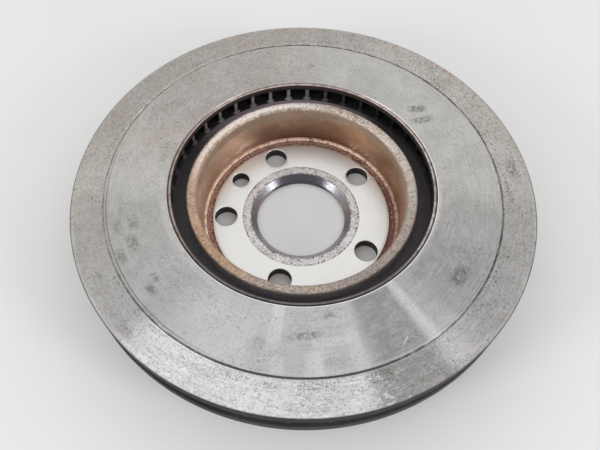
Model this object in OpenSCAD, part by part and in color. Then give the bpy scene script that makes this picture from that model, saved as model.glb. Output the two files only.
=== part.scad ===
// Ventilated front brake disc for a car, a single iron casting with an integral hat.
// Millimetres. Z = 0 is the wheel-side face of the hat, +Z runs along the axis to the inboard side.
// The casting is split into its working sections, which meet face to face.

/* [Disc] */
// Outer diameter of the friction plates
disc_d = 302; // [296:1:312]
// Height from the wheel-side hat face to the inboard friction face
total_h = 50.5; // [48:0.5:56]
// Thickness over both friction faces
disc_t = 25; // [24:0.5:28]
// Thickness of one friction plate
plate_t = 7.5; // [7:0.25:8.5]
// Inner diameter of the inboard friction face
face_bore_d = 178.6; // [178:0.2:182]
// Diameter of the opening through the inboard plate
lip_d = 173; // [170:0.5:175]
// Diameter at which the outboard plate meets the neck
neck_d = 176; // [175:0.5:177.5]
// Bevel on the outer corners of the plates
rim_bevel = 0.8; // [0.4:0.1:1.2]

/* [Wear groove] */
// Diameter of the groove turned in the inboard face
groove_d = 260.6; // [250:0.2:270]
// Width of the groove
groove_w = 1.2; // [0.8:0.1:2]
// Depth of the groove
groove_depth = 0.35; // [0.2:0.05:0.6]

/* [Vanes] */
// Number of cooling vanes
vane_n = 40; // [36:1:44]
// Thickness of a vane at its inner end
vane_in_t = 3.4; // [3:0.1:4.5]
// Thickness of a vane at its outer end
vane_out_t = 6; // [4.5:0.25:8]
// Radius at the inner end of the vanes
vane_in_r = 89.5; // [89:0.5:93]
// Radius at the outer end of the vanes
vane_out_r = 148.5; // [145:0.5:149.5]

/* [Hat] */
// Outer diameter of the hat at its rim
hat_d = 156; // [154:0.5:157]
// Height of the hat rim above the wheel-side face
rim_h = 42; // [40:0.5:44]
// Inner diameter of the hat at its rim
hat_bore_d = 141.6; // [140:0.2:143]
// Inner diameter of the hat just above its floor
hat_floor_d = 138.4; // [137:0.2:140]
// Outer diameter of the hat at the wheel-side face
hat_nose_d = 151; // [149:0.5:153]
// Height of the rough ledge around the hub seat
ledge_h = 9; // [8.6:0.1:9.4]

/* [Hub seat] */
// Outer diameter of the machined hub seat
seat_d = 126.4; // [125:0.2:128]
// Thickness of the mounting flange at the hub seat
flange_t = 8; // [7:0.25:8.5]
// Diameter of the rough ring around the centre bore
collar_d = 83.6; // [80:0.2:86]
// Diameter of the centre bore
bore_d = 63.4; // [60:0.1:66]
// Diameter of the lead-in cone at its wide end
lead_d = 72; // [70:0.2:76]
// Length of the centre bore's cylindrical wall
bore_len = 3.2; // [2.6:0.1:4]

/* [Holes] */
// Pitch circle diameter of the wheel-bolt holes
bolt_pcd = 108; // [106:0.5:109]
// Number of wheel-bolt holes
bolt_n = 5; // [4:1:5]
// Diameter of a wheel-bolt hole
bolt_hole_d = 16; // [14:0.25:16.5]
// Diameter of the locating-screw hole
locating_hole_d = 12.5; // [8:0.25:13]
// Angle of the first wheel-bolt hole
bolt_angle = 37; // [0:1:71]

/* [Hidden] */
$fn = 180;
eps = 0.01;
disc_r = disc_d / 2;
face_bore_r = face_bore_d / 2;
hat_r = hat_d / 2;
seat_r = seat_d / 2;
collar_r = collar_d / 2;
outboard_z = total_h - disc_t;
vent_low_z = outboard_z + plate_t;
vent_high_z = total_h - plate_t;
lip_r = lip_d / 2;
neck_r = neck_d / 2;
lip_step = 0.5;
lip_h = 4.2;
rim_round = 2.6;
nose_round = 4;
nose_draft = 0.6;
neck_relief = 2.5;
bore_overshoot = 1;
hole_bevel = 0.4;
collar_drop = 0.2;
vane_names = [for (i = [1 : vane_n]) str("cooling_vane_", i < 10 ? "0" : "", i)];

// A ring whose section has an outer bevel at both of its far corners.
module plate_section(low_z, inner_r) {
    polygon([
        [inner_r, low_z],
        [disc_r - rim_bevel, low_z],
        [disc_r, low_z + rim_bevel],
        [disc_r, low_z + plate_t - rim_bevel],
        [disc_r - rim_bevel, low_z + plate_t],
        [inner_r, low_z + plate_t]]);
}

// The friction plate on the inboard side, with its wear groove and the stepped lip inside it.
module inboard_friction_plate() {
    color("silver")
    rotate_extrude()
    difference() {
        union() {
            plate_section(vent_high_z, face_bore_r);
            polygon([
                [lip_r, total_h - lip_h],
                [face_bore_r + eps, vent_high_z],
                [face_bore_r + eps, total_h - lip_step],
                [lip_r, total_h - lip_step]]);
        }
        polygon([
            [groove_d / 2 - groove_w / 2, total_h + eps],
            [groove_d / 2, total_h - groove_depth],
            [groove_d / 2 + groove_w / 2, total_h + eps]]);
    }
}

// The friction plate on the wheel side.
module outboard_friction_plate() {
    color("silver")
    rotate_extrude()
    plate_section(outboard_z, neck_r);
}

// One straight radial vane with round ends, a little thicker at its outer end.
module cooling_vane(i) {
    inner_x = vane_in_r + vane_in_t / 2;
    outer_x = vane_out_r - vane_out_t / 2;
    color("dimgray")
    rotate((i - 0.5) * 360 / vane_n)
    translate([0, 0, vent_low_z])
    linear_extrude(vent_high_z - vent_low_z)
    union() {
        polygon([
            [inner_x, -vane_in_t / 2],
            [outer_x, -vane_out_t / 2],
            [outer_x, vane_out_t / 2],
            [inner_x, vane_in_t / 2]]);
        translate([inner_x, 0])
            circle(d = vane_in_t, $fn = 48);
        translate([outer_x, 0])
            circle(d = vane_out_t, $fn = 48);
    }
}

// The ring that joins the outboard plate to the hat, relieved on the wheel side.
module neck_ring() {
    color("dimgray")
    rotate_extrude()
    difference() {
        translate([hat_r, outboard_z])
            square([neck_r - hat_r, plate_t]);
        translate([hat_r - eps, outboard_z - eps])
            square([neck_r - hat_r - neck_relief + eps, neck_relief + eps]);
        translate([neck_r - neck_relief, outboard_z])
            circle(r = neck_relief, $fn = 48);
    }
}

// The rounded open end of the hat.
module hat_rim() {
    color("tan")
    rotate_extrude()
    union() {
        translate([hat_bore_d / 2, vent_low_z])
            square([hat_r - hat_bore_d / 2, rim_h - rim_round - vent_low_z]);
        translate([hat_bore_d / 2 + rim_round, rim_h - 2 * rim_round])
            square([hat_r - hat_bore_d / 2 - 2 * rim_round, 2 * rim_round]);
        for (r = [hat_bore_d / 2 + rim_round, hat_r - rim_round])
            translate([r, rim_h - rim_round])
                circle(r = rim_round, $fn = 48);
    }
}

// The drafted side wall of the hat.
module hat_wall() {
    color("sienna")
    rotate_extrude()
    polygon([
        [hat_floor_d / 2, ledge_h],
        [hat_nose_d / 2 + nose_draft, ledge_h],
        [hat_r, outboard_z],
        [hat_r, vent_low_z],
        [hat_bore_d / 2, vent_low_z]]);
}

// The corner of the hat, with the rough ledge inside it and a rounded nose outside.
module hat_shoulder() {
    nose_r = hat_nose_d / 2;
    color("saddlebrown")
    rotate_extrude()
    union() {
        translate([seat_r, 0])
            square([nose_r - nose_round - seat_r, ledge_h]);
        polygon([
            [nose_r - nose_round - eps, nose_round],
            [nose_r, nose_round],
            [nose_r + nose_draft, ledge_h],
            [nose_r - nose_round - eps, ledge_h]]);
        translate([nose_r - nose_round, nose_round])
            circle(r = nose_round, $fn = 48);
    }
}

// A through hole along Z with a small bevel at both mouths.
module beveled_hole(d, h) {
    translate([0, 0, -eps])
        cylinder(d = d, h = h + 2 * eps);
    translate([0, 0, -eps])
        cylinder(d1 = d + 2 * (hole_bevel + eps), d2 = d, h = hole_bevel + eps);
    translate([0, 0, h - hole_bevel])
        cylinder(d1 = d, d2 = d + 2 * (hole_bevel + eps), h = hole_bevel + eps);
}

// The machined flange between hub and wheel, with its bolt and locating holes.
module mounting_flange() {
    color("lightgray")
    difference() {
        cylinder(r = seat_r, h = flange_t);
        translate([0, 0, -bore_overshoot])
            cylinder(r = collar_r, h = flange_t + 2 * bore_overshoot);
        for (i = [0 : bolt_n - 1])
            rotate(bolt_angle + i * 360 / bolt_n)
                translate([bolt_pcd / 2, 0, 0])
                    beveled_hole(bolt_hole_d, flange_t);
        rotate(bolt_angle + 1.5 * 360 / bolt_n)
            translate([bolt_pcd / 2, 0, 0])
                beveled_hole(locating_hole_d, flange_t);
    }
}

// The rough ring around the centre bore, with a wide lead-in cone on the hub side.
module centre_collar() {
    top_z = flange_t - collar_drop;
    color("rosybrown")
    rotate_extrude()
    polygon([
        [bore_d / 2 + hole_bevel, 0],
        [collar_r, 0],
        [collar_r, top_z],
        [lead_d / 2, top_z],
        [bore_d / 2, hole_bevel + bore_len],
        [bore_d / 2, hole_bevel]]);
}

inboard_friction_plate();
outboard_friction_plate();
neck_ring();
hat_rim();
hat_wall();
hat_shoulder();
mounting_flange();
centre_collar();
for (i = [1 : vane_n])
    cooling_vane(i);
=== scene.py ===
import math

import bpy
from mathutils import Matrix, Vector, noise


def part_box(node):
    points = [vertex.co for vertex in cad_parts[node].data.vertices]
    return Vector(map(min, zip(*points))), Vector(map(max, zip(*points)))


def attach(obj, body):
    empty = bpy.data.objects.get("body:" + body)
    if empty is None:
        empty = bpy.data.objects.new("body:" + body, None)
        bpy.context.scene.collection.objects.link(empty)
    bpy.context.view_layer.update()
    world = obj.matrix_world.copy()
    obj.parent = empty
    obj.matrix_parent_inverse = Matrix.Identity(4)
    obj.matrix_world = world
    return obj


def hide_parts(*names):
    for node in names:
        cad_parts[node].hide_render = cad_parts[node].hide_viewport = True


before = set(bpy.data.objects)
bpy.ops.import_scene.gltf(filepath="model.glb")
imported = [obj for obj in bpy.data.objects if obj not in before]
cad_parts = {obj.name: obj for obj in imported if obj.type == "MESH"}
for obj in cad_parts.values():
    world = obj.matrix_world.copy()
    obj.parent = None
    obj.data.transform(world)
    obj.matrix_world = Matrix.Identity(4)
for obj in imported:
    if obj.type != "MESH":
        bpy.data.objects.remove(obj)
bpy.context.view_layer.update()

# ---- Sizes ----
# Metres, in the CAD frame: Z = 0 is the wheel-side hat face, +Z is the inboard side.
MM = 0.001


def reach(node):
    """The outer radius of a CAD node."""
    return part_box(node)[1][0]


def top(node):
    """The highest Z of a CAD node."""
    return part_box(node)[1][2]


def bottom(node):
    """The lowest Z of a CAD node."""
    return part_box(node)[0][2]


# The visual disc stays this far inside the CAD disc.
CLEARANCE = 0.03 * MM
DISC_R = reach("inboard_friction_plate") - CLEARANCE
FACE_Z = top("inboard_friction_plate")
VENT_HIGH_Z = bottom("inboard_friction_plate")
VENT_LOW_Z = top("outboard_friction_plate")
OUTBOARD_Z = bottom("outboard_friction_plate")
NECK_R = reach("neck_ring")
HAT_R = reach("hat_rim")
RIM_Z = top("hat_rim")
LEDGE_Z = top("hat_shoulder")
SEAT_R = reach("mounting_flange")
SEAT_Z = top("mounting_flange")
COLLAR_R = reach("centre_collar")
COLLAR_Z = top("centre_collar")

# From the turned face inwards: its inner edge, a small step, and the lip that hangs into the well.
FACE_BORE_R = 89.3 * MM
STEP_R = 88.0 * MM
LIP_R = 86.5 * MM
LIP_Z = FACE_Z - 4.2 * MM
GROOVE_R = 130.1 * MM
GROOVE_HALF = 0.65 * MM
GROOVE_DEPTH = 0.25 * MM
GROOVE_FLOOR_HALF = 0.2 * MM
# An older groove inside it is only a faint line of dirt.
OLD_GROOVE_R = 128.1 * MM
RIM_BORE_R = 70.8 * MM
FLOOR_BORE_R = 69.2 * MM
NOSE_R = 75.5 * MM
NOSE_FILLET = 4 * MM
DRAFT = 0.6 * MM
RELIEF_Z = OUTBOARD_Z + 2.5 * MM
# Inside this radius the hat's wall is bare iron, outside it is coated.
MID_WALL_R = 73 * MM
BORE_R = 31.7 * MM
LEAD_R = 36 * MM
BORE_TOP_Z = 3.6 * MM
BOLT_CIRCLE_R = 54 * MM
BOLT_HOLE_R = 8 * MM
LOCATING_HOLE_R = 6.25 * MM
BOLTS = 5
FIRST_BOLT = math.radians(37)
BOLT_STEP = math.radians(360 / BOLTS)

VANE_NODES = sorted(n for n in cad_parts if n.startswith("cooling_vane_"))
VANE_IN_R = 89.5 * MM
VANE_OUT_R = 148.5 * MM
VANE_IN_T = 2.9 * MM
VANE_OUT_T = 6.0 * MM
VANE_FILLET = 0.7 * MM
VANE_FOOT_FILLET = 1.7 * MM

SEGMENTS = 512
PLATE_SEGMENTS = 720
ROUGH_SEGMENTS = 640
PLATE_STEP = 4 * MM
SHARP_DEGREES = 35


# ---- Mesh building ----
def rounded(corners, steps=5):
    """A closed outline through corners (r, z, fillet radius), each fillet drawn as an arc."""
    outline = []
    for i, (r, z, fillet) in enumerate(corners):
        here = Vector((r, z))
        if fillet == 0:
            outline.append(here)
            continue
        back = (Vector(corners[i - 1][:2]) - here).normalized()
        ahead = (Vector(corners[(i + 1) % len(corners)][:2]) - here).normalized()
        half = back.angle(ahead) / 2
        centre = here + (back + ahead).normalized() * (fillet / math.sin(half))
        start = here + back * (fillet / math.tan(half)) - centre
        end = here + ahead * (fillet / math.tan(half)) - centre
        turn = math.atan2(start.x * end.y - start.y * end.x, start.dot(end))
        for k in range(steps + 1):
            outline.append(centre + Matrix.Rotation(turn * k / steps, 2) @ start)
    return outline


def finer(outline, step):
    """The same closed outline with no stretch longer than step."""
    points = []
    for i, here in enumerate(outline):
        ahead = outline[(i + 1) % len(outline)]
        count = max(1, math.ceil((ahead - here).length / step))
        points += [here.lerp(ahead, k / count) for k in range(count)]
    return points


def outward(outline):
    """A unit normal for each point of an outline that runs with its solid on the left."""
    normals = []
    for i in range(len(outline)):
        along = (outline[(i + 1) % len(outline)] - outline[i - 1]).normalized()
        normals.append(Vector((along.y, -along.x)))
    return normals


def cast_relief(point, size, seed):
    """Lumps of a sand-cast skin, from -1 to 1."""
    return noise.fractal(point / size + Vector((seed, 0, 0)), 0.8, 2.1, 4)


def spin(name, outline, depth=None, grain=2.5 * MM, seed=0.0, segments=SEGMENTS):
    """A closed ring: outline turned round the axis. depth(r, z) is how far the cast skin is sunk there."""
    normals = outward(outline)
    verts = []
    for k in range(segments):
        angle = 2 * math.pi * k / segments
        cosine, sine = math.cos(angle), math.sin(angle)
        for here, normal in zip(outline, normals):
            r, z = here
            sunk = depth(r, z) if depth else 0
            if sunk:
                lump = cast_relief(Vector((r * cosine, r * sine, z)), grain, seed)
                sink = sunk * (lump - 1) / 2
                r, z = r + normal.x * sink, z + normal.y * sink
            verts.append((r * cosine, r * sine, z))
    count = len(outline)
    faces = []
    for k in range(segments):
        near, far = k * count, (k + 1) % segments * count
        for i in range(count):
            j = (i + 1) % count
            faces.append((near + i, far + i, far + j, near + j))
    return solid(name, verts, faces)


def solid(name, verts, faces, sharp=SHARP_DEGREES):
    """A smooth-shaded mesh object with sharp edges where the surface turns by more than sharp degrees."""
    mesh = bpy.data.meshes.new(name)
    mesh.from_pydata(verts, [], faces)
    mesh.validate()
    piece = bpy.data.objects.new(name, mesh)
    bpy.context.collection.objects.link(piece)
    crease(piece, sharp)
    return piece


def crease(piece, sharp=SHARP_DEGREES):
    """Smooth shading, broken where the surface turns by more than sharp degrees."""
    piece.data.shade_smooth()
    piece.data.set_sharp_from_angle(angle=math.radians(sharp))


def cut(piece, cutters):
    """Cuts closed meshes out of a piece, and removes them."""
    for cutter in cutters:
        modifier = piece.modifiers.new("cut", "BOOLEAN")
        modifier.operation = "DIFFERENCE"
        modifier.solver = "EXACT"
        modifier.object = cutter
    bpy.context.view_layer.update()
    evaluated = piece.evaluated_get(bpy.context.evaluated_depsgraph_get())
    mesh = bpy.data.meshes.new_from_object(evaluated)
    piece.modifiers.clear()
    old = piece.data
    piece.data = mesh
    bpy.data.meshes.remove(old)
    mesh.name = piece.name
    for cutter in cutters:
        bpy.data.meshes.remove(cutter.data)
    crease(piece)


# ---- Pieces ----
def fade(value, low, high):
    """0 at low, 1 at high, smooth between."""
    share = min(1.0, max(0.0, (value - low) / (high - low)))
    return share * share * (3 - 2 * share)


def plate_edge(low_z, high_z):
    """The outer corners of a plate from low_z to high_z: small bevels where the turned faces end."""
    bevel = 0.3 * MM
    ease = 0.1 * MM
    return [
        (DISC_R - bevel, low_z, ease),
        (DISC_R, low_z + bevel, ease),
        (DISC_R, high_z - bevel, ease),
        (DISC_R - bevel, high_z, ease),
    ]


def edge_skin(z, low_z, high_z):
    """How far the cast skin of a plate's rim is sunk: nothing on the flat faces."""
    flat = 0.5 * MM
    full = 1.3 * MM
    inset = fade(z, low_z + flat, low_z + full) * fade(z, high_z - flat, high_z - full)
    return 0.2 * MM * inset


def inboard_plate():
    """The plate that is seen from above: turned face, wear groove, stepped lip, cast edges."""
    ease = 0.12 * MM
    step_z = FACE_Z - 0.8 * MM
    corners = [
        (LIP_R, LIP_Z, 0.9 * MM),
        (VANE_IN_R, VENT_HIGH_Z, 1.6 * MM),
        *plate_edge(VENT_HIGH_Z, FACE_Z),
        (GROOVE_R + GROOVE_HALF, FACE_Z, ease),
        (GROOVE_R + GROOVE_FLOOR_HALF, FACE_Z - GROOVE_DEPTH, 0.1 * MM),
        (GROOVE_R - GROOVE_FLOOR_HALF, FACE_Z - GROOVE_DEPTH, 0.1 * MM),
        (GROOVE_R - GROOVE_HALF, FACE_Z, ease),
        (FACE_BORE_R, FACE_Z, ease),
        (FACE_BORE_R - 0.5 * MM, step_z, ease),
        (STEP_R + 0.3 * MM, step_z, ease),
        (STEP_R, FACE_Z - 0.35 * MM, 0.15 * MM),
        (LIP_R, FACE_Z - 0.5 * MM, 0.5 * MM),
    ]
    outline = finer(rounded(corners), PLATE_STEP)

    def depth(r, z):
        return edge_skin(z, VENT_HIGH_Z, FACE_Z)

    return spin("inboard_plate", outline, depth, seed=3.0, segments=PLATE_SEGMENTS)


def outboard_plate():
    """The wheel-side plate. Its turned face looks down."""
    corners = [
        (NECK_R, OUTBOARD_Z, 0),
        *plate_edge(OUTBOARD_Z, VENT_LOW_Z),
        (NECK_R, VENT_LOW_Z, 0),
    ]
    outline = finer(rounded(corners), PLATE_STEP)

    def depth(r, z):
        return edge_skin(z, OUTBOARD_Z, VENT_LOW_Z)

    return spin("outboard_plate", outline, depth, seed=8.0, segments=PLATE_SEGMENTS)


def flare(near, fillet):
    """How far a fillet stands out, at a distance near from the surface that it meets."""
    return fillet - math.sqrt(max(0, fillet**2 - max(0, fillet - near) ** 2))


def vane(name, angle, seed):
    """One vane: a round-ended bar that flares into both plates, with a cast skin."""
    height = VENT_HIGH_Z - VENT_LOW_Z
    arc = 10
    levels = [0, 0.06, 0.2, 0.4, 0.7, 1.1, 1.7]
    levels = [v * MM for v in levels] + [height / 2] + [height - v * MM for v in reversed(levels)]
    turn = Matrix.Rotation(angle, 3, "Z")
    verts = []
    for z in levels:
        near = min(z, height - z)
        inner_fillet = VANE_FOOT_FILLET if z < height / 2 else VANE_FILLET
        inner_r, outer_r = VANE_IN_T / 2, VANE_OUT_T / 2
        ends = [
            (VANE_IN_R + inner_r, inner_r + flare(near, inner_fillet), math.pi / 2),
            (VANE_OUT_R - outer_r, outer_r + flare(near, VANE_FILLET), -math.pi / 2),
        ]
        for x, round_r, start in ends:
            for k in range(arc + 1):
                a = start + math.pi * k / arc
                point = Vector((x + round_r * math.cos(a), round_r * math.sin(a), VENT_LOW_Z + z))
                lump = cast_relief(point, 3 * MM, seed) * 0.12 * MM * fade(near, 0, 1.2 * MM)
                point += Vector((math.cos(a), math.sin(a), 0)) * lump
                verts.append(turn @ point)
    ring = 2 * (arc + 1)
    faces = [tuple(reversed(range(ring)))]
    for level in range(len(levels) - 1):
        for k in range(ring):
            low, high = level * ring, (level + 1) * ring
            after = (k + 1) % ring
            faces.append((low + k, low + after, high + after, high + k))
    faces.append(tuple(range((len(levels) - 1) * ring, len(levels) * ring)))
    return solid(name, verts, faces, sharp=50)


def neck():
    """The ring between hat and outboard plate, hollowed on the wheel side by a turned relief."""
    corners = [
        (HAT_R, RELIEF_Z, 0),
        (NECK_R - 2.2 * MM, RELIEF_Z, 1.8 * MM),
        (NECK_R - 0.6 * MM, OUTBOARD_Z, 0.3 * MM),
        (NECK_R, OUTBOARD_Z, 0),
        (NECK_R, VENT_LOW_Z, 0),
        (HAT_R, VENT_LOW_Z, 0),
    ]
    outline = finer(rounded(corners), 1.2 * MM)

    def depth(r, z):
        sides = fade(r, HAT_R, HAT_R + 1 * MM) * fade(r, NECK_R, NECK_R - 1 * MM)
        return 0.25 * MM * sides * fade(z, OUTBOARD_Z, OUTBOARD_Z + 1 * MM)

    return spin("neck", outline, depth, seed=12.0)


def rim():
    """The rounded open end of the hat."""
    corners = [
        (RIM_BORE_R, VENT_LOW_Z, 0),
        (HAT_R, VENT_LOW_Z, 0),
        (HAT_R, RIM_Z, 1.5 * MM),
        (RIM_BORE_R, RIM_Z, 3.2 * MM),
    ]
    outline = finer(rounded(corners, steps=8), 0.8 * MM)

    def depth(r, z):
        return 0.3 * MM * fade(z, VENT_LOW_Z, VENT_LOW_Z + 1.5 * MM)

    return spin("rim", outline, depth, grain=1.8 * MM, seed=17.0, segments=ROUGH_SEGMENTS)


def wall():
    """The drafted side wall of the hat."""
    corners = [
        (FLOOR_BORE_R, LEDGE_Z, 0),
        (NOSE_R + DRAFT, LEDGE_Z, 0),
        (HAT_R, RELIEF_Z, 0),
        (HAT_R, VENT_LOW_Z, 0),
        (RIM_BORE_R, VENT_LOW_Z, 0),
    ]
    outline = finer(rounded(corners), 1.2 * MM)

    def depth(r, z):
        ends = fade(z, LEDGE_Z, LEDGE_Z + 1.5 * MM) * fade(z, VENT_LOW_Z, VENT_LOW_Z - 1.5 * MM)
        return 0.3 * MM * ends

    return spin("wall", outline, depth, grain=5 * MM, seed=21.0)


def shoulder():
    """The hat's corner: rough ledge and raised bead inside, rounded nose outside."""
    corners = [
        (SEAT_R, 0, 0),
        (NOSE_R, 0, NOSE_FILLET),
        (NOSE_R + DRAFT, LEDGE_Z, 0),
        (FLOOR_BORE_R, LEDGE_Z, 0),
        (FLOOR_BORE_R - 0.7 * MM, LEDGE_Z - 0.05 * MM, 0.3 * MM),
        (FLOOR_BORE_R - 1.6 * MM, LEDGE_Z - 0.75 * MM, 0.4 * MM),
        (SEAT_R + 0.2 * MM, LEDGE_Z - 0.45 * MM, 0.3 * MM),
        (SEAT_R, LEDGE_Z - 0.9 * MM, 0),
    ]
    outline = finer(rounded(corners), 0.7 * MM)

    def depth(r, z):
        inner = fade(z, LEDGE_Z - 2 * MM, LEDGE_Z - 1 * MM) * fade(r, NOSE_R, FLOOR_BORE_R)
        outer = fade(r, FLOOR_BORE_R + 2 * MM, NOSE_R - 1 * MM) * fade(z, 0, 1.2 * MM)
        crust = 0.5 * MM * inner * fade(r, SEAT_R, SEAT_R + 0.8 * MM)
        return crust + 0.2 * MM * outer

    return spin("shoulder", outline, depth, grain=1.4 * MM, seed=26.0, segments=ROUGH_SEGMENTS)


def hole_cutter(angle, hole_r):
    """A drill with a small round-over at both faces of the flange."""
    ease = 0.5 * MM
    ease_steps = 4
    sides = 96
    profile = [(hole_r + 1.6 * ease, -ease)]
    for k in range(ease_steps + 1):
        a = math.pi / 2 * k / ease_steps
        profile.append((hole_r + ease * (1 - math.sin(a)), ease * (1 - math.cos(a))))
    profile += [(r, SEAT_Z - z) for r, z in reversed(profile)]
    centre = Vector((BOLT_CIRCLE_R * math.cos(angle), BOLT_CIRCLE_R * math.sin(angle), 0))
    verts = []
    for r, z in profile:
        for k in range(sides):
            a = 2 * math.pi * k / sides
            verts.append(centre + Vector((r * math.cos(a), r * math.sin(a), z)))
    faces = [tuple(reversed(range(sides)))]
    for level in range(len(profile) - 1):
        for k in range(sides):
            low, high = level * sides, (level + 1) * sides
            after = (k + 1) % sides
            faces.append((low + k, low + after, high + after, high + k))
    faces.append(tuple(range((len(profile) - 1) * sides, len(profile) * sides)))
    return solid("cutter", verts, faces)


def flange():
    """The machined flange, with five wheel-bolt holes and one locating hole."""
    corners = [
        (COLLAR_R, 0, 0),
        (SEAT_R, 0, 0),
        (SEAT_R, SEAT_Z, 0),
        (COLLAR_R, SEAT_Z, 0.12 * MM),
    ]
    piece = spin("flange", rounded(corners), segments=360)
    cutters = [hole_cutter(FIRST_BOLT + k * BOLT_STEP, BOLT_HOLE_R) for k in range(BOLTS)]
    cutters.append(hole_cutter(FIRST_BOLT + 1.5 * BOLT_STEP, LOCATING_HOLE_R))
    cut(piece, cutters)
    return piece


def collar():
    """The pitted ring round the bore, with the lead-in cone."""
    corners = [
        (BORE_R, 0.4 * MM, 0.2 * MM),
        (BORE_R + 0.4 * MM, 0, 0.2 * MM),
        (COLLAR_R, 0, 0),
        (COLLAR_R, COLLAR_Z, 0),
        (LEAD_R, COLLAR_Z, 0.9 * MM),
        (BORE_R, BORE_TOP_Z, 0.5 * MM),
    ]
    outline = finer(rounded(corners), 0.6 * MM)

    def depth(r, z):
        ring = fade(r, LEAD_R - 0.4 * MM, LEAD_R + 0.8 * MM) * fade(z, COLLAR_Z - 0.8 * MM, COLLAR_Z)
        return 0.35 * MM * ring

    return spin("collar", outline, depth, grain=1.1 * MM, seed=31.0)


# ---- Material graphs ----
# Headings are degrees round the axis: 0 (+X) is right, 90 (+Y) far, 180 left and 270 near.
# A call of grain or specks takes the size of its lumps; its shift moves it away from other grains.

# The colour sockets of a Mix node, by number, because its float and vector sockets share their names.
MIX_INPUTS = (0, 6, 7)
MIX_OUTPUT = 2


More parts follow.
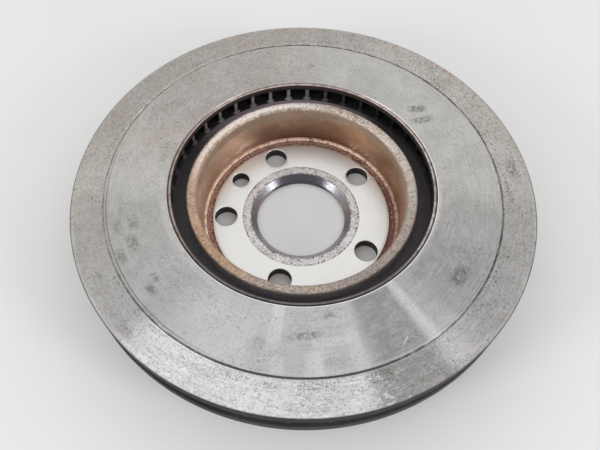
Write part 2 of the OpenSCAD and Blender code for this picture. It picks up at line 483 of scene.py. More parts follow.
class Finish:
    """One procedural material. Its methods add nodes and give back sockets."""

    def __init__(self, name):
        self.material = bpy.data.materials.new(name)
        self.material.use_nodes = True
        self.nodes = self.material.node_tree.nodes
        self.links = self.material.node_tree.links
        self.shader = self.nodes["Principled BSDF"]
        self.point = self.add("ShaderNodeTexCoord").outputs["Object"]
        axes = self.add("ShaderNodeSeparateXYZ", self.point).outputs
        self.z = axes["Z"]
        self.flat = self.add("ShaderNodeCombineXYZ", axes["X"], axes["Y"], 0.0).outputs[0]
        self.radius = self.vector("LENGTH", self.flat).outputs["Value"]
        self.heading = self.vector("NORMALIZE", self.flat).outputs["Vector"]

    def add(self, kind, *values, **settings):
        """A new node with its settings, and its first inputs fed."""
        made = self.nodes.new(kind)
        for key, value in settings.items():
            setattr(made, key, value)
        for socket, value in zip(made.inputs, values):
            self.feed(socket, value)
        return made

    def feed(self, socket, value):
        """Links a socket or sets a constant. None leaves the socket as it is."""
        if value is None:
            return
        if isinstance(value, bpy.types.NodeSocket):
            self.links.new(value, socket)
        else:
            socket.default_value = value

    def vector(self, operation, *values):
        return self.add("ShaderNodeVectorMath", *values, operation=operation)

    def math(self, operation, *values):
        return self.add("ShaderNodeMath", *values, operation=operation).outputs[0]

    def times(self, a, b):
        return self.math("MULTIPLY", a, b)

    def plus(self, a, b):
        return self.math("ADD", a, b)

    def minus(self, a, b):
        return self.math("SUBTRACT", a, b)

    def most(self, a, b):
        """The larger of the two."""
        return self.math("MAXIMUM", a, b)

    def ramp(self, value, low, high, start=0.0, end=1.0):
        """value turned into start at low and end at high, smooth and held outside."""
        made = self.add("ShaderNodeMapRange", value, low, high, start, end, interpolation_type="SMOOTHSTEP")
        return made.outputs[0]

    def band(self, value, low, high, soft):
        """1 from low to high, 0 outside, over an edge of width soft."""
        return self.times(self.ramp(value, low - soft, low), self.ramp(value, high, high + soft, 1.0, 0.0))

    def wedge(self, degrees, half, soft):
        """1 within half degrees of a heading round the axis, 0 beyond half + soft."""
        angle = math.radians(degrees)
        aim = (math.cos(angle), math.sin(angle), 0.0)
        along = self.vector("DOT_PRODUCT", self.heading, aim).outputs["Value"]
        low, high = math.cos(math.radians(half + soft)), math.cos(math.radians(half))
        return self.ramp(along, low, high)

    def segment(self, x, y, degrees, half_length, half_width):
        """1 along a thin straight line centred at x, y and lying at an angle, tapered at its ends."""
        angle = math.radians(degrees)
        offset = self.vector("SUBTRACT", self.flat, (x, y, 0.0)).outputs[0]
        along = self.vector("DOT_PRODUCT", offset, (math.cos(angle), math.sin(angle), 0.0)).outputs["Value"]
        across = self.vector("DOT_PRODUCT", offset, (-math.sin(angle), math.cos(angle), 0.0)).outputs["Value"]
        ends = self.ramp(self.math("ABSOLUTE", along), half_length, 0.3 * half_length)
        return self.times(ends, self.ramp(self.math("ABSOLUTE", across), half_width, 0.3 * half_width))

    def grain(self, size, detail=3.0, roughness=0.55, twist=0.0, where=None, shift=0.0):
        """Noise from 0 to 1 with lumps of about size metres."""
        place = where or self.point
        if shift:
            place = self.vector("ADD", place, (shift, shift * 0.7, shift * 0.3)).outputs[0]
        made = self.add("ShaderNodeTexNoise", noise_dimensions="3D")
        self.feed(made.inputs["Vector"], place)
        made.inputs["Scale"].default_value = 1 / size
        made.inputs["Detail"].default_value = detail
        made.inputs["Roughness"].default_value = roughness
        made.inputs["Distortion"].default_value = twist
        return made.outputs[0]

    def lathe(self, across, along):
        """A place that varies every across metres outwards, and every along radians round the axis."""
        round_part = self.vector("SCALE", self.heading)
        round_part.inputs["Scale"].default_value = across / along
        out_part = self.plus(self.radius, self.z)
        lifted = self.add("ShaderNodeCombineXYZ", 0.0, 0.0, out_part).outputs[0]
        return self.vector("ADD", round_part.outputs[0], lifted).outputs[0]

    def mix(self, share, a, b):
        """Colour a where share is 0, and b where it is 1."""
        made = self.add("ShaderNodeMix", data_type="RGBA")
        for index, value in zip(MIX_INPUTS, (share, a, b)):
            self.feed(made.inputs[index], value)
        return made.outputs[MIX_OUTPUT]

    def tint(self, color, shade, mask, strength=None):
        """color turned to shade where mask is 1, wholly or by a strength under 1."""
        share = mask if strength is None else self.times(mask, strength)
        return self.mix(share, color, shade)

    def finish(self, color, roughness, metallic, height=None, relief=0.0, bump=1.0):
        """Feeds the shader. height is raised by relief metres at full bump."""
        self.feed(self.shader.inputs["Base Color"], color)
        self.feed(self.shader.inputs["Roughness"], roughness)
        self.feed(self.shader.inputs["Metallic"], metallic)
        if height is not None:
            made = self.add("ShaderNodeBump")
            made.inputs["Strength"].default_value = bump
            made.inputs["Distance"].default_value = relief
            self.feed(made.inputs["Height"], height)
            self.links.new(made.outputs["Normal"], self.shader.inputs["Normal"])
        return self.material

    def brushed(self, amount):
        """Stretches the gloss across turning marks that run round the axis."""
        tangent = self.add("ShaderNodeTangent", direction_type="RADIAL", axis="Z")
        self.links.new(tangent.outputs[0], self.shader.inputs["Tangent"])
        self.shader.inputs["Anisotropic"].default_value = amount
        self.shader.inputs["Anisotropic Rotation"].default_value = 0.25


def rgb(red, green, blue):
    """A colour given as a screen shows it, 0 to 255, in the linear form that shaders take."""
    linear = [((c / 255 + 0.055) / 1.055) ** 2.4 if c > 10 else c / 255 / 12.92 for c in (red, green, blue)]
    return (*linear, 1.0)


def coat_color(f, edge_light=92):
    """Thin black coating, darkened between the vanes with painted shade. edge_light is the grey of its outer
    edge: painted light, partly dust, raised where that edge lies in shade.
    """
    dust_and_light = f.ramp(f.grain(6 * MM, 4.0), 0.45, 0.75)
    color = f.mix(dust_and_light, rgb(32, 29, 32), rgb(52, 48, 50))
    # Painted shade: the coat is darkened deep in the vent channels, between the vanes.
    past_mouth = f.ramp(f.radius, VANE_IN_R + 0.1 * MM, VANE_IN_R + 1.5 * MM)
    vent_painted_shade = f.times(past_mouth, f.ramp(f.radius, VANE_OUT_R - 2.5 * MM, VANE_OUT_R - 12.5 * MM))
    color = f.tint(color, rgb(12, 9, 10), vent_painted_shade, 0.85)
    # Painted light, partly dust: toward the outer edge the coat turns to the edge_light grey, with a darker
    # patch toward heading 230.
    outside = f.ramp(f.radius, VANE_OUT_R - 8.5 * MM, VANE_OUT_R + 0.5 * MM)
    dull = rgb(edge_light - 8, edge_light - 8, edge_light - 7)
    pale = rgb(edge_light + 8, edge_light + 7, edge_light + 6)
    painted_edge_light = f.mix(f.times(f.wedge(230, 14, 14), 0.7), f.mix(dust_and_light, dull, pale), rgb(26, 26, 30))
    return f.tint(color, painted_edge_light, outside)


def specks(f, size, level, soft=0.05, shift=0.2):
    """1 in small round specks of about size metres; more of them where level is lower."""
    dots = f.grain(size, 3.0, 0.6, shift=shift)
    return f.ramp(f.minus(dots, level), 0.0, soft)


def smears(f, spots, size, low, high):
    """Marks at all spots, torn by grain of a size: gone where it is under low, whole over high."""
    torn = f.ramp(f.grain(size, 5.0, 0.75, shift=1.3), low, high)
    total = None
    for x, y, degrees, half_length, half_width, strength in spots:
        here = f.segment(x * MM, y * MM, degrees, half_length * MM, half_width * MM)
        here = f.times(here, strength)
        total = here if total is None else f.most(total, here)
    return f.times(total, torn)


# Greasy grey smears, and below them clusters of black flecks along the wear groove. Both have rows of
# (x, y, heading, half length, half width, strength), in mm and degrees.
SMEARS = (
    (85, 61, 4, 9, 4.5, 1),
    (87.5, 50.5, 14, 11, 3.8, 0.95),
    (10.3, 106.5, 174, 4, 2.2, 0.7),
    (91.4, -71.4, 52, 10, 6, 1),
    (66.2, -70.9, 43, 8, 4.4, 0.4),
    (-92.2, 31.7, 71, 5, 2.8, 0.5),
    (-94.4, 20.1, 78, 5, 2.8, 0.5),
    (-107.9, -29.9, 105, 8, 4.4, 0.7),
    (-105.9, -46.1, 114, 9, 5, 0.7),
    (-111.9, -54.6, 116, 8, 4.4, 0.7),
    (-117.3, -33.6, 106, 8, 4.4, 0.5),
    (-89.6, -68.8, 128, 5, 2.8, 0.8),
    (-90.5, -77.3, 131, 6, 3.3, 0.9),
    (-102.7, -100.9, 134, 8, 4.4, 0.6),
    (140.4, 6.1, 92, 9, 5, 0.8),
    (-2, -106.5, 4, 13, 3.2, 0.75),
    (-28, -109.8, 80, 6, 4.5, 0.3),
    (12, -94.5, 20, 5, 2.5, 0.5),
    (14, -121, 15, 9, 4, 0.3),
)
FLECKS = (
    (-21.0, -133.5, 170, 9, 3, 0.8),
    (6.0, -134.5, 3, 20, 3.2, 0.7),
    (38.0, -129.0, 17, 14, 4, 0.8),
    (-42.0, -128.0, 162, 14, 2.6, 0.5),
    (24.0, -136.0, 10, 14, 4, 0.5),
    (-4.0, -144.0, 0, 14, 5, 0.35),
    (-66.0, -121.0, 151, 16, 3, 0.4),
    (58.0, -124.0, 25, 12, 5, 0.35),
)


# Patches where the turned face is lightened (strength above 0) or dulled (below 0). The light patches, all on
# the near side, are painted highlights, partly polish: radial lamp streaks across the turning marks, and
# glare on the outer band.
# (heading in degrees, half width, softness, inner radius, outer radius, strength), radii in mm.
PATCHES = (
    (260, 0.8, 2.0, 84, 113, 0.65),
    (261.8, 1.0, 1.5, 118, 130, 0.55),
    (271.3, 1.2, 2.0, 114, 131, 0.60),
    (277, 4.5, 2, 107, 115, 0.35),
    (283, 0.6, 2.0, 104, 131, 0.30),
    (303.2, 0.3, 2.4, 84, 131, 1.10),
    (308, 2, 3, 112, 130, 0.30),
    (257, 3.4, 1, 115, 130, -0.16),
    (266.5, 4, 1.3, 103, 130, -0.12),
    (278, 2.4, 1.2, 115, 128, -0.06),
    (277.5, 1, 1.2, 91, 99, -0.40),
    (255.7, 1.8, 1, 109, 118, -0.25),
    (294, 5, 5, 88, 130, -0.85),
    (318, 10, 9, 88, 129, -0.45),
    (332, 14, 10, 90, 151, -0.50),
    (211, 18, 12, 92, 150, -0.36),
    (125, 18, 14, 88, 130, -0.26),
    (246, 12, 12, 130, 154, 1.20),
    (268, 13, 5, 130, 154, 1.05),
    (246, 10, 8, 90, 130, 0.14),
    (241, 13, 1.5, 98, 131, 0.16),
    (266, 16, 10, 86, 131, 0.15),
    (294, 6, 5, 129, 153, -0.90),
    (312, 5, 4, 129, 153, -0.20),
    (304.5, 1.2, 4, 130, 149, 0.34),
    (140, 20, 10, 131, 151, -0.30),
    (90, 18, 12, 131, 151, -0.22),
)
# Thin scratches across the turning marks, as (x, y, heading, half length, half width, strength), in mm
# and degrees. They are light where strength is above 0, and dark below it.
SCRATCHES = (
    (54.5, -109.6, 56, 4.9, 0.25, 1.0),
    (9.7, 106.0, 80, 5.5, 0.35, -0.9),
    (38.0, -118.0, 40, 3.0, 0.18, 0.6),
    (70.5, -97.0, 25, 3.5, 0.18, 0.6),
    (-64.0, -92.0, 70, 3.0, 0.20, 0.5),
)
POLISH_AND_HIGHLIGHT = rgb(246, 246, 248)
DULL_IRON = rgb(146, 145, 143)


def patchwork(f, color, marks):
    """Lightens and dulls the face patch by patch; the light patches, painted highlights, are torn along the
    turning marks.
    """
    cloud = f.ramp(f.grain(6 * MM, 4.0, 0.6, shift=6.1), 0.3, 0.6, 0.65, 1.0)
    torn = f.times(f.ramp(marks, 0.38, 0.60, 0.2, 1.0), cloud)
    edge = 3
    for degrees, half, soft, inner, outer, strength in PATCHES:
        light = strength > 0
        ring = f.band(f.radius, (inner + edge) * MM, (outer - edge) * MM, edge * MM)
        area = f.times(f.wedge(degrees, half, soft), ring)
        share = f.times(area, f.times(torn if light else cloud, abs(strength)))
        color = f.tint(color, POLISH_AND_HIGHLIGHT if light else DULL_IRON, share)
    for x, y, degrees, half_length, half_width, strength in SCRATCHES:
        line = f.segment(x * MM, y * MM, degrees, half_length * MM, half_width * MM)
        color = f.tint(color, POLISH_AND_HIGHLIGHT if strength > 0 else DULL_IRON, f.times(line, abs(strength)))
    return color


def painted_glare_band(f, color):
    """Painted glare on the outer band toward the near side: bright streaks and flecks, with darker streaks
    among them.
    """
    zone = f.times(f.wedge(262, 20, 12), f.band(f.radius, 134 * MM, 149 * MM, 3 * MM))
    streak = f.grain(1.5 * MM, 5.0, 0.75, where=f.lathe(1.5 * MM, 0.03), shift=7.3)
    color = f.tint(color, rgb(132, 129, 120), f.times(zone, f.ramp(streak, 0.59, 0.66, 0.0, 0.40)))
    return f.tint(color, rgb(252, 252, 250), f.times(zone, f.ramp(streak, 0.48, 0.40, 0.0, 0.8)))


def groove_dirt(f):
    """Dark dust in the wear groove, thin on the left, and in an older, fainter groove inside it."""
    thin = f.times(f.wedge(165, 35, 30), 0.5)
    uneven = f.ramp(f.grain(7 * MM, 4.0, 0.6, shift=2.1), 0.38, 0.62, 0.55, 1.0)
    uneven = f.most(uneven, f.wedge(268, 18, 18))
    ragged = f.times(f.minus(f.grain(3 * MM, 4.0, 0.7, shift=5.4), 0.5), 1.6 * MM)
    ragged = f.plus(f.radius, f.times(ragged, f.wedge(60, 80, 30)))
    main = f.band(ragged, GROOVE_R - 0.45 * MM, GROOVE_R + 0.4 * MM, 0.45 * MM)
    main = f.times(f.times(main, f.minus(1.0, thin)), uneven)
    wobble = f.times(f.minus(f.grain(16 * MM, 3.0, shift=2.4), 0.5), 0.8 * MM)
    old = f.band(f.plus(f.radius, wobble), OLD_GROOVE_R - 0.2 * MM, OLD_GROOVE_R + 0.2 * MM, 0.5 * MM)
    left = f.plus(f.wedge(205, 20, 25), f.times(f.wedge(315, 10, 15), 0.5))
    return f.most(main, f.times(old, f.times(left, 0.5)))


def face_color(f, marks, outer):
    """Worn turned iron, swept smooth inside the wear groove, with painted highlights and glare. outer is 1
    outside the groove.
    """
    swept_cloud = f.ramp(f.grain(30 * MM, 4.0, 0.6, 0.8), 0.36, 0.66)
    swept = f.mix(swept_cloud, rgb(204, 202, 197), rgb(192, 190, 185))
    outer_cloud = f.ramp(f.grain(16 * MM, 5.0, 0.65), 0.35, 0.68)
    unswept = f.mix(outer_cloud, rgb(201, 197, 191), rgb(190, 185, 178))
    color = f.mix(outer, swept, unswept)
    color = f.tint(color, rgb(196, 198, 203), f.wedge(275, 45, 45), 0.4)
    warm = f.ramp(f.grain(11 * MM, 4.0, 0.65, shift=4.0), 0.35, 0.62, 0.35, 1.0)
    warm = f.times(f.wedge(130, 25, 28), warm)
    color = f.tint(color, rgb(188, 177, 169), warm, 0.75)
    color = patchwork(f, color, marks)
    # Painted highlight: a bright line along the wear groove's outer edge, on the near left and broken on the
    # far left.
    broken = f.ramp(f.grain(5 * MM, 4.0, 0.7, shift=2.6), 0.42, 0.58, 0.0, 0.6)
    groove_edge_highlight = f.most(f.wedge(239, 7, 9), f.times(f.wedge(125, 35, 25), broken))
    groove_edge_highlight = f.times(groove_edge_highlight, f.band(f.radius, GROOVE_R + 0.9 * MM, GROOVE_R + 1.3 * MM, 0.3 * MM))
    color = f.tint(color, rgb(250, 250, 250), groove_edge_highlight, 0.9)
    color = painted_glare_band(f, color)
    color = f.tint(color, rgb(120, 118, 114), f.ramp(marks, 0.35, 0.75, 0.0, 0.18))
    brushed = f.wedge(290, 60, 30)
    color = f.tint(color, rgb(122, 121, 120), f.times(brushed, f.ramp(marks, 0.50, 0.68, 0.0, 0.12)))
    color = f.tint(color, rgb(236, 236, 238), f.times(brushed, f.ramp(marks, 0.46, 0.32, 0.0, 0.18)))
    return mottled(f, color, outer)


def mottled(f, color, outer):
    """Fine dark and pale grains, crowded in clouds, outside the groove and at the far left."""
    crowd = f.ramp(f.grain(20 * MM, 3.0, 0.6, shift=0.5), 0.35, 0.68)
    crowd = f.plus(crowd, f.times(outer, 0.5))
    crowd = f.plus(crowd, f.times(f.times(outer, f.wedge(50, 35, 25)), 0.5))
    crowd = f.plus(crowd, f.times(f.wedge(125, 28, 22), 0.75))
    fine = f.grain(1.5 * MM, 4.0, 0.75, shift=3.1)
    dark = f.times(f.ramp(fine, 0.48, 0.70), f.ramp(crowd, 0.0, 1.5, 0.25, 0.65))
    color = f.tint(color, rgb(118, 114, 108), dark)
    pale = f.times(f.ramp(fine, 0.46, 0.30), f.ramp(crowd, 0.3, 1.5, 0.0, 0.40))
    return f.tint(color, rgb(226, 224, 220), pale)


def face_specks(f, outer):
    """Sharp dark pits, crowded in places and along the outer band."""
    cluster = f.ramp(f.grain(18 * MM, 3.0, 0.6, shift=0.5), 0.35, 0.7, 0.0, 0.08)
    level = f.minus(0.695, f.plus(cluster, f.times(outer, 0.035)))
    calm = f.most(f.wedge(240, 50, 15), f.wedge(140, 30, 30))
    level = f.plus(level, f.times(calm, f.times(outer, 0.03)))
    beside = f.band(f.radius, GROOVE_R + 1 * MM, GROOVE_R + 5 * MM, 3 * MM)
    level = f.minus(level, f.times(beside, 0.03))
    return specks(f, 1.1 * MM, level)


def lip_color(f, color):
    """The step inside the turned face: bright corner (painted highlight), pale ring with painted shade on its
    near side, dark line of painted shade, dull inner wall.
    """
    # Painted highlight along the face's inner corner, on the near side.
    corner_highlight = f.times(f.band(f.radius, FACE_BORE_R, FACE_BORE_R + 0.25 * MM, 0.3 * MM), f.wedge(310, 75, 40))
    color = f.tint(color, rgb(255, 254, 252), corner_highlight, 0.85)
    step = f.ramp(f.radius, FACE_BORE_R - 0.1 * MM, FACE_BORE_R - 0.4 * MM)
    step_color = f.mix(f.ramp(f.grain(4 * MM, 4.0, 0.65), 0.38, 0.62), rgb(214, 206, 202), rgb(146, 138, 134))
    step_color = f.tint(step_color, rgb(152, 124, 104), f.wedge(185, 30, 25), 0.55)
    step_color = f.tint(step_color, rgb(206, 178, 172), f.wedge(85, 50, 35), 0.35)
    # Painted shade: the ring is darkened on the near side.
    step_color = f.tint(step_color, rgb(92, 90, 90), f.wedge(266, 40, 30), 0.85)
    color = f.tint(color, step_color, step)
    # Painted shade in the step's corner: a dark line, lighter on the far side.
    far = f.times(f.wedge(90, 50, 40), 0.35)
    step_shade_line = f.band(f.radius, STEP_R + 0.2 * MM, STEP_R + 0.9 * MM, 0.2 * MM)
    color = f.tint(color, rgb(44, 38, 36), f.times(step_shade_line, f.minus(0.75, far)))
    inner_wall = f.ramp(f.radius, LIP_R + 0.45 * MM, LIP_R + 0.25 * MM)
    return f.tint(color, rgb(92, 80, 77), inner_wall)


def edge_rust(f):
    """Flecks of rust near the outer edge, most of them far right and left."""
    rusty = f.plus(f.times(f.wedge(52, 22, 14), 0.7), f.times(f.wedge(150, 25, 20), 0.35))
    rusty = f.times(f.plus(rusty, 0.12), f.ramp(f.radius, 134 * MM, DISC_R))
    return f.times(f.ramp(f.grain(2.6 * MM, 4.0, 0.7, shift=0.7), 0.54, 0.64), rusty)


def friction_iron(face_z, up):
    """Turned, pad-worn iron with black coating on its cast edges. The face looks up (1) or down (-1)."""
    f = Finish("friction_iron_inboard" if up > 0 else "friction_iron_outboard")
    below = f.times(f.minus(face_z, f.z), float(up))
    ragged = f.grain(1.6 * MM, 4.0)
    worn = f.plus(below, f.times(f.minus(ragged, 0.5), 0.2 * MM))
    marks = f.grain(0.5 * MM, 3.0, 0.7, where=f.lathe(0.5 * MM, 0.12))
    outer = f.ramp(f.radius, GROOVE_R - 0.3 * MM, GROOVE_R + 0.3 * MM)

    color = face_color(f, marks, outer)
    speck = face_specks(f, outer)
    color = f.tint(color, rgb(92, 88, 84), speck, 0.7)
    color = f.tint(color, rgb(104, 102, 98), smears(f, SMEARS, 2.2 * MM, 0.38, 0.56), 0.8)
    color = f.tint(color, rgb(70, 66, 60), smears(f, FLECKS, 0.9 * MM, 0.50, 0.60))
    color = f.tint(color, rgb(40, 38, 37), groove_dirt(f), 0.85)
    color = f.tint(color, rgb(160, 118, 102), edge_rust(f))
    rim_dirt = f.ramp(f.radius, DISC_R - 0.9 * MM, DISC_R - 0.3 * MM, 0.0, 0.7)
    color = f.tint(color, rgb(62, 55, 52), rim_dirt)
    color = lip_color(f, color)
    cast = f.times(f.ramp(worn, 0.08 * MM, 0.2 * MM), f.ramp(f.radius, 140 * MM, 145 * MM))
    coated = f.most(cast, f.ramp(below, 2.2 * MM, 3.0 * MM))
    # The coat's outer edge gets a grey of painted light, lighter on the outboard plate, whose edge lies in
    # shade.
    color = f.tint(color, coat_color(f, edge_light=36 if up > 0 else 60), coated)

    roughness = f.plus(f.ramp(marks, 0.3, 0.8, 0.38, 0.48), f.times(speck, 0.2))
    roughness = f.plus(roughness, f.times(outer, 0.06))
    roughness = f.plus(roughness, f.times(coated, 0.15))
    metallic = f.ramp(coated, 0.0, 1.0, 0.9, 0.1)
    height = f.minus(f.times(marks, 0.35), speck)
    height = f.plus(height, f.times(f.times(coated, ragged), 2.0))
    f.brushed(0.6)
    return f.finish(color, roughness, metallic, height, 0.05 * MM, 0.6)


def coated_iron():
    """Black coating over a sand-cast skin: paler on the vanes' inner ends, and a pale floor at the vane
    mouths, painted light and partly dust, most on the far side.
    """
    f = Finish("coated_cast_iron")
    lumps = f.grain(1.6 * MM, 5.0, 0.6)
    color = coat_color(f)
    # Painted light, partly dust: the floor at the vane mouths is made pale, most on the far side.
    dust_and_light = f.ramp(f.radius, VANE_IN_R + 1.5 * MM, VANE_IN_R + 0.5 * MM)
    dust_and_light = f.times(dust_and_light, f.ramp(f.z, VENT_LOW_Z - 0.6 * MM, VENT_LOW_Z - 0.2 * MM))
    spread = f.plus(f.times(f.wedge(97, 15, 40), 0.85), 0.12)
    color = f.tint(color, rgb(158, 146, 150), f.times(dust_and_light, spread))
    # Paler at the vanes' inner ends near the floor, most toward heading 115.
    ends = f.ramp(f.radius, VANE_IN_R + 1.3 * MM, VANE_IN_R + 0.4 * MM)
    ends = f.times(ends, f.ramp(f.z, VENT_LOW_Z, VENT_LOW_Z + 0.3 * MM))
    pale_ends_spread = f.plus(f.times(f.wedge(115, 20, 35), 0.85), 0.03)
    ends = f.times(f.times(ends, pale_ends_spread), f.ramp(lumps, 0.3, 0.7, 1.0, 0.6))
    color = f.tint(color, rgb(146, 137, 133), ends)
    shade = f.times(f.wedge(25, 45, 25), f.band(f.radius, VANE_IN_R - 1.3 * MM, GROOVE_R, 1 * MM))
    color = f.tint(color, rgb(8, 7, 8), shade, 0.85)
    roughness = f.ramp(lumps, 0.3, 0.7, 0.42, 0.62)
    return f.finish(color, roughness, 0.1, lumps, 0.25 * MM, 0.6)


def weathered_iron():
    """The hat's open end: grainy grey-brown iron with a painted highlight on its crest, bronze inside, and a
    pale grey of painted light on its outer side.
    """
    f = Finish("weathered_rim_iron")
    sand = f.grain(1.5 * MM, 5.0, 0.75)
    patch = f.grain(12 * MM, 3.0, 0.6)
    color = f.mix(f.ramp(patch, 0.35, 0.65), rgb(210, 194, 178), rgb(190, 182, 173))
    brown = f.ramp(f.grain(5 * MM, 4.0, 0.7, shift=9.1), 0.48, 0.66)
    color = f.tint(color, rgb(150, 118, 94), brown, 0.6)
    color = f.tint(color, rgb(122, 100, 86), f.ramp(sand, 0.50, 0.62, 0.0, 0.75))
    color = f.tint(color, rgb(248, 240, 230), f.ramp(sand, 0.46, 0.34, 0.0, 0.8))
    color = f.tint(color, rgb(240, 228, 216), f.wedge(12, 25, 20), 0.2)
    color = f.tint(color, rgb(140, 120, 106), f.wedge(262, 40, 30), 0.3)
    color = f.tint(color, rgb(196, 148, 104), f.wedge(185, 35, 30), 0.5)
    color = f.tint(color, rgb(146, 138, 132), f.wedge(318, 22, 22), 0.45)
    # Painted highlight along the rim's crest, on the far left.
    crest_highlight = f.band(f.radius, MID_WALL_R + 0.2 * MM, MID_WALL_R + 2.4 * MM, 1.2 * MM)
    color = f.tint(color, rgb(250, 242, 234), f.times(crest_highlight, f.times(f.wedge(125, 25, 30), 0.75)))
    dots = specks(f, 1.3 * MM, 0.61, shift=1.7)
    color = f.tint(color, rgb(84, 64, 54), dots, 0.75)
    inside = f.ramp(f.plus(f.z, f.times(patch, 2 * MM)), RIM_Z - 0.2 * MM, RIM_Z - 2.6 * MM)
    inside = f.times(inside, f.ramp(f.radius, MID_WALL_R + 1 * MM, MID_WALL_R))
    color = f.tint(color, bronze_color(f), inside)
    # Painted light: the rim's outer side, down in the shaded gap, is given a pale grey.
    outside = f.ramp(f.radius, MID_WALL_R + 3 * MM, MID_WALL_R + 3.6 * MM)
    outside = f.times(outside, f.ramp(f.z, RIM_Z - 0.9 * MM, RIM_Z - 1.8 * MM))
    color = f.tint(color, rgb(176, 170, 176), outside)
    metallic = f.ramp(outside, 0.0, 1.0, 0.45, 0.1)
    roughness = f.ramp(sand, 0.3, 0.7, 0.38, 0.62)
    return f.finish(color, roughness, metallic, sand, 0.3 * MM, 0.7)


def bronze_color(f):
    """Heat-tinted iron: brown clouds, violet and olive drifts, paler rubs, greyer near the rim."""
    cloud = f.grain(22 * MM, 4.0, 0.6, 1.0, shift=0.4)
    color = f.mix(f.ramp(cloud, 0.35, 0.65), rgb(180, 146, 116), rgb(148, 116, 90))
    hue = f.grain(30 * MM, 3.0, 0.5, 1.5, shift=1.9)
    color = f.tint(color, rgb(140, 118, 118), f.ramp(hue, 0.54, 0.66, 0.0, 0.5))
    color = f.tint(color, rgb(150, 136, 104), f.ramp(hue, 0.46, 0.34, 0.0, 0.5))
    drift = f.grain(4 * MM, 4.0, 0.7, 0.5, shift=0.6)
    color = f.tint(color, rgb(196, 168, 140), f.ramp(drift, 0.55, 0.75, 0.0, 0.45))
    color = f.tint(color, rgb(96, 66, 52), f.ramp(drift, 0.40, 0.28, 0.0, 0.5))
    streak = f.grain(2.0 * MM, 4.0, 0.65, where=f.lathe(1.2 * MM, 0.12), shift=8.8)
    color = f.tint(color, rgb(104, 78, 62), f.ramp(streak, 0.52, 0.68, 0.0, 0.35))
    high = f.ramp(f.z, RIM_Z - 16 * MM, RIM_Z - 4 * MM)
    return f.tint(color, rgb(178, 162, 148), high, 0.45)


def bead_breaks(f):
    """Where the pale bead at the foot of the wall is whole; wall and ledge share it."""
    return f.ramp(f.grain(3.0 * MM, 5.0, 0.8, shift=4.9), 0.62, 0.50)


def bronzed_iron():
    """The hat's wall: satin brown inside, with painted shade on the far side, painted glints low down and a
    pale bead that is partly a painted highlight; black coating outside.
    """
    f = Finish("bronzed_wall_iron")
    color = bronze_color(f)
    # Painted shade: the wall is darkened on its far side.
    far = f.times(f.wedge(85, 25, 30), f.ramp(f.z, RIM_Z - 6 * MM, LEDGE_Z + 6 * MM))
    color = f.tint(color, rgb(100, 68, 50), far, 0.8)
    foot = f.ramp(f.z, LEDGE_Z + 6 * MM, LEDGE_Z)
    color = f.tint(color, rgb(110, 70, 54), foot, 0.2)
    color = f.tint(color, rgb(214, 174, 148), f.wedge(170, 40, 35), 0.45)
    color = f.tint(color, rgb(150, 100, 64), f.wedge(10, 45, 35), 0.45)
    # Pale bead at the wall's foot, partly a painted highlight along its edge.
    line = f.ramp(f.z, LEDGE_Z + 1.3 * MM, LEDGE_Z + 0.7 * MM)
    color = f.tint(color, rgb(250, 226, 204), f.times(line, bead_breaks(f)))
    rough = f.ramp(f.grain(1.5 * MM, 5.0, 0.75, 0.6, shift=8.2), 0.50, 0.60)
    # Painted glints: pinkish-white flecks low on the wall, far left and far right.
    painted_glints = f.most(f.wedge(136, 5, 12), f.wedge(45, 6, 10))
    painted_glints = f.times(f.times(painted_glints, rough), f.ramp(f.z, LEDGE_Z + 12 * MM, LEDGE_Z + 5 * MM))
    color = f.tint(color, rgb(236, 212, 200), painted_glints, 0.75)
    scratch = f.grain(1.0 * MM, 3.0, 0.6, where=f.lathe(0.8 * MM, 0.05), shift=2.8)
    scratch = f.times(f.ramp(scratch, 0.62, 0.70), f.ramp(f.grain(16 * MM, 3.0, shift=3.3), 0.5, 0.62))
    color = f.tint(color, rgb(236, 214, 186), scratch, 0.8)
    outside = f.ramp(f.radius, MID_WALL_R, MID_WALL_R + 0.2 * MM)
    color = f.tint(color, coat_color(f), outside)
    skin = f.grain(2.2 * MM, 4.0, 0.55)
    roughness = f.ramp(skin, 0.3, 0.7, 0.30, 0.44)
    roughness = f.plus(roughness, f.times(outside, 0.2))
    metallic = f.ramp(outside, 0.0, 1.0, 0.6, 0.1)
    return f.finish(color, roughness, metallic, skin, 0.2 * MM, 0.5)


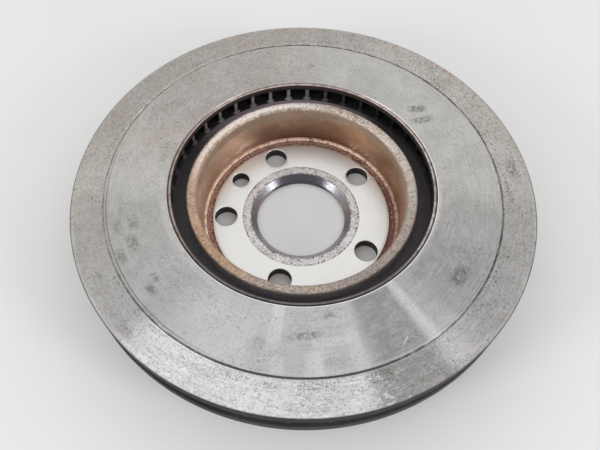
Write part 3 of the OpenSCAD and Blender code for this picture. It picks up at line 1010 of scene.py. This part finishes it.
def rusted_iron():
    """The ledge inside the hat: rough reddish rust, with a pale bead that is partly a painted highlight, and
    painted glints; coated outside.
    """
    f = Finish("rusted_ledge_iron")
    crust = f.grain(1.3 * MM, 5.0, 0.7)
    color = f.mix(f.ramp(crust, 0.35, 0.65), rgb(196, 160, 142), rgb(140, 102, 90))
    color = f.tint(color, rgb(232, 206, 190), f.ramp(crust, 0.42, 0.30, 0.0, 0.8))
    pits = specks(f, 1.6 * MM, 0.58, shift=4.4)
    color = f.tint(color, rgb(70, 36, 32), pits, 0.8)
    gutter = f.times(f.ramp(f.radius, SEAT_R + 2.4 * MM, SEAT_R + 0.6 * MM), f.ramp(crust, 0.42, 0.55))
    color = f.tint(color, rgb(84, 48, 42), gutter, 0.7)
    # Pale bead, partly a painted highlight along its edge.
    bead = f.band(f.radius, FLOOR_BORE_R - 1.1 * MM, FLOOR_BORE_R + 0.8 * MM, 0.4 * MM)
    color = f.tint(color, rgb(250, 228, 206), f.times(bead, bead_breaks(f)))
    deep_rust = f.ramp(f.grain(9 * MM, 4.0, 0.7, shift=9.7), 0.55, 0.68)
    deep_rust = f.most(deep_rust, f.times(f.wedge(352, 22, 18), f.ramp(crust, 0.62, 0.50)))
    color = f.tint(color, rgb(92, 44, 40), deep_rust, 0.7)
    glints = specks(f, 1.6 * MM, 0.63, 0.08, shift=2.2)
    glints = f.times(glints, f.most(f.wedge(355, 25, 15), f.wedge(45, 12, 10)))
    color = f.tint(color, rgb(255, 226, 190), glints)
    outside = f.ramp(f.z, 7 * MM, 6 * MM)
    outside = f.most(outside, f.ramp(f.radius, MID_WALL_R - 1 * MM, MID_WALL_R - 0.5 * MM))
    color = f.tint(color, coat_color(f), outside)
    seat = f.ramp(f.z, 0.25 * MM, 0.05 * MM)
    color = f.tint(color, bright_color(f)[0], seat)
    metallic = f.most(f.ramp(outside, 0.0, 1.0, 0.35, 0.1), f.times(seat, 0.9))
    roughness = f.ramp(crust, 0.3, 0.7, 0.42, 0.7)
    return f.finish(color, roughness, metallic, crust, 0.4 * MM, 0.8)


def bright_color(f):
    """Clean machined iron: its colour and its turning marks."""
    marks = f.grain(0.35 * MM, 2.0, 0.6, where=f.lathe(0.35 * MM, 0.2))
    color = f.mix(f.grain(20 * MM, 3.0), rgb(247, 247, 244), rgb(236, 236, 232))
    color = f.tint(color, rgb(150, 146, 142), f.ramp(marks, 0.4, 0.8, 0.0, 0.08))
    spot = specks(f, 1.2 * MM, 0.72, shift=0.8)
    color = f.tint(color, rgb(150, 134, 124), spot, 0.5)
    return color, marks


def bright_iron():
    """The clean machined flange: bores darkened with painted shade, and faint rust at its edges."""
    f = Finish("bright_flange_iron")
    color, marks = bright_color(f)
    broken = f.ramp(f.grain(1.5 * MM, 4.0, 0.6), 0.35, 0.6, 0.35, 1.0)
    ragged = f.plus(f.radius, f.times(broken, 0.8 * MM))
    inner = f.ramp(ragged, COLLAR_R + 1.2 * MM, COLLAR_R + 0.2 * MM)
    color = f.tint(color, rgb(150, 132, 128), inner, 0.6)
    outer = f.ramp(f.radius, SEAT_R - 2.5 * MM, SEAT_R)
    color = f.tint(color, rgb(150, 120, 104), outer, 0.35)
    # Painted shade: the walls of the holes are darkened.
    inside = f.times(f.ramp(f.z, SEAT_Z - 0.25 * MM, SEAT_Z - 0.7 * MM), f.ramp(f.z, 0.25 * MM, 0.7 * MM))
    bore_shade_color = f.mix(f.grain(3 * MM, 4.0), rgb(70, 66, 66), rgb(38, 34, 36))
    color = f.tint(color, bore_shade_color, inside)
    roughness = f.plus(f.ramp(marks, 0.3, 0.8, 0.32, 0.42), f.times(inside, 0.2))
    metallic = f.ramp(inside, 0.0, 1.0, 0.9, 0.5)
    f.brushed(0.4)
    return f.finish(color, roughness, metallic, marks, 0.02 * MM, 0.4)


def pitted_iron():
    """The pitted ring round the bore, with a smooth cone and a clean wheel-side face."""
    f = Finish("pitted_collar_iron")
    pits = f.grain(0.9 * MM, 4.0, 0.6)
    color = f.mix(f.ramp(pits, 0.42, 0.60), rgb(240, 239, 239), rgb(214, 209, 208))
    middle_r = 39 * MM
    off_middle = f.math("ABSOLUTE", f.minus(f.radius, middle_r))
    edge = f.ramp(off_middle, 1.2 * MM, 2.6 * MM, 0.0, 0.09)
    dents = specks(f, 1.2 * MM, f.minus(0.60, edge), 0.06, shift=5.2)
    color = f.tint(color, rgb(96, 80, 78), dents, 0.9)
    color = f.tint(color, rgb(150, 122, 112), f.ramp(f.grain(9 * MM, 3.0), 0.45, 0.7, 0.0, 0.3))
    cone = f.ramp(f.radius, LEAD_R + 0.3 * MM, LEAD_R - 0.3 * MM)
    seat = f.ramp(f.z, 0.4 * MM, 0.1 * MM)
    smooth = f.most(cone, seat)
    cone_color = f.mix(f.grain(7 * MM, 3.0), rgb(176, 177, 184), rgb(150, 150, 158))
    # Painted shade: the cone is darkened on its far side.
    cone_color = f.tint(cone_color, rgb(92, 90, 96), f.wedge(88, 26, 22))
    cone_color = f.tint(cone_color, bright_color(f)[0], seat)
    color = f.tint(color, cone_color, smooth)
    roughness = f.ramp(pits, 0.3, 0.7, 0.38, 0.60)
    roughness = f.minus(roughness, f.times(smooth, 0.22))
    metallic = f.ramp(smooth, 0.0, 1.0, 0.7, 0.9)
    height = f.times(f.minus(pits, dents), f.ramp(smooth, 0.0, 1.0, 1.0, 0.05))
    return f.finish(color, roughness, metallic, height, 0.35 * MM, 0.8)


# ---- Assembly ----
def place(piece, node, slot, material):
    """Gives a piece its material, and puts it in the place of a CAD node."""
    piece.data.materials.clear()
    piece.data.materials.append(material)
    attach(piece, "root")
    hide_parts(node)


def build_disc():
    """Every visible piece, each in the place of its CAD node."""
    coated = coated_iron()
    place(inboard_plate(), "inboard_friction_plate", "machined_iron", friction_iron(FACE_Z, 1))
    place(outboard_plate(), "outboard_friction_plate", "machined_iron", friction_iron(OUTBOARD_Z, -1))
    for k, node in enumerate(VANE_NODES):
        angle = (k + 0.5) * 2 * math.pi / len(VANE_NODES)
        place(vane(f"vane_{k + 1:02d}", angle, 40.0 + k), node, "coated_iron", coated)
    place(neck(), "neck_ring", "coated_iron", coated)
    place(rim(), "hat_rim", "weathered_iron", weathered_iron())
    place(wall(), "hat_wall", "bronzed_iron", bronzed_iron())
    place(shoulder(), "hat_shoulder", "rusted_iron", rusted_iron())
    place(flange(), "mounting_flange", "bright_iron", bright_iron())
    place(collar(), "centre_collar", "pitted_iron", pitted_iron())


# ---- Stage, light and camera ----
def studio_floor():
    """A plain pale floor, a hair below the disc."""
    f = Finish("pale_floor")
    tone = f.mix(f.grain(120 * MM, 3.0), (0.78, 0.78, 0.77, 1.0), (0.82, 0.82, 0.81, 1.0))
    material = f.finish(tone, roughness=0.7, metallic=0.0)
    half = 3.0
    corners = [(-half, -half, 0), (half, -half, 0), (half, half, 0), (-half, half, 0)]
    floor = solid("floor", corners, [(0, 1, 2, 3)])
    floor.location.z = -0.05 * MM
    floor.data.materials.append(material)


def panel_light(name, spot):
    """A small soft panel at spot that shines at the disc."""
    data = bpy.data.lights.new(name, "AREA")
    data.shape = "RECTANGLE"
    data.size = 0.4
    data.size_y = 0.5
    data.energy = 7
    lamp = bpy.data.objects.new(name, data)
    lamp.location = spot
    lamp.rotation_euler = (-Vector(spot)).to_track_quat("-Z", "Y").to_euler()
    bpy.context.collection.objects.link(lamp)


def sky(color, low, high):
    """A dome of soft light, of strength low at the near side, and high at the far side and overhead."""
    world = bpy.data.worlds.new("studio")
    world.use_nodes = True
    nodes, links = world.node_tree.nodes, world.node_tree.links
    background = nodes["Background"]
    background.inputs["Color"].default_value = (*color, 1.0)
    direction = nodes.new("ShaderNodeTexCoord").outputs["Generated"]
    across = nodes.new("ShaderNodeVectorMath")
    across.operation = "DOT_PRODUCT"
    across.inputs[1].default_value = (0.0, 0.7, 0.7)
    links.new(direction, across.inputs[0])
    shade = nodes.new("ShaderNodeMapRange")
    shade.interpolation_type = "SMOOTHSTEP"
    shade.inputs["From Min"].default_value = -0.6
    shade.inputs["From Max"].default_value = 0.6
    shade.inputs["To Min"].default_value = low
    shade.inputs["To Max"].default_value = high
    links.new(across.outputs["Value"], shade.inputs["Value"])
    links.new(shade.outputs["Result"], background.inputs["Strength"])
    bpy.context.scene.world = world


def light_stage():
    """Soft light all round, and two panels for the highlights on the cone."""
    sky((0.99, 0.99, 1.0), low=0.5, high=0.92)
    panel_light("left_panel", (-1.39, -0.77, 0.75))
    panel_light("right_panel", (1.35, -0.85, 0.73))


def set_camera():
    """Looks down at the disc from the near side, about 55 degrees above the floor."""
    data = bpy.data.cameras.new("camera")
    data.sensor_width = 36.0
    data.lens = 34.85
    data.shift_x = 0.027
    data.shift_y = -0.066
    camera = bpy.data.objects.new("camera", data)
    ahead = Vector((0.0, 0.5684, -0.8228)).normalized()
    roll = math.radians(-0.95)
    right = ahead.cross(Vector((0, 0, 1))).normalized()
    right = Matrix.Rotation(-roll, 3, ahead) @ right
    up = right.cross(ahead)
    turn = Matrix((right, up, -ahead)).transposed()
    spot = Vector((-0.0120, -0.2215, 0.3650))
    camera.matrix_world = Matrix.Translation(spot) @ turn.to_4x4()
    bpy.context.collection.objects.link(camera)
    bpy.context.scene.camera = camera


set_camera()
studio_floor()
light_stage()
build_disc()
bpy.context.scene.view_settings.view_transform = "Standard"
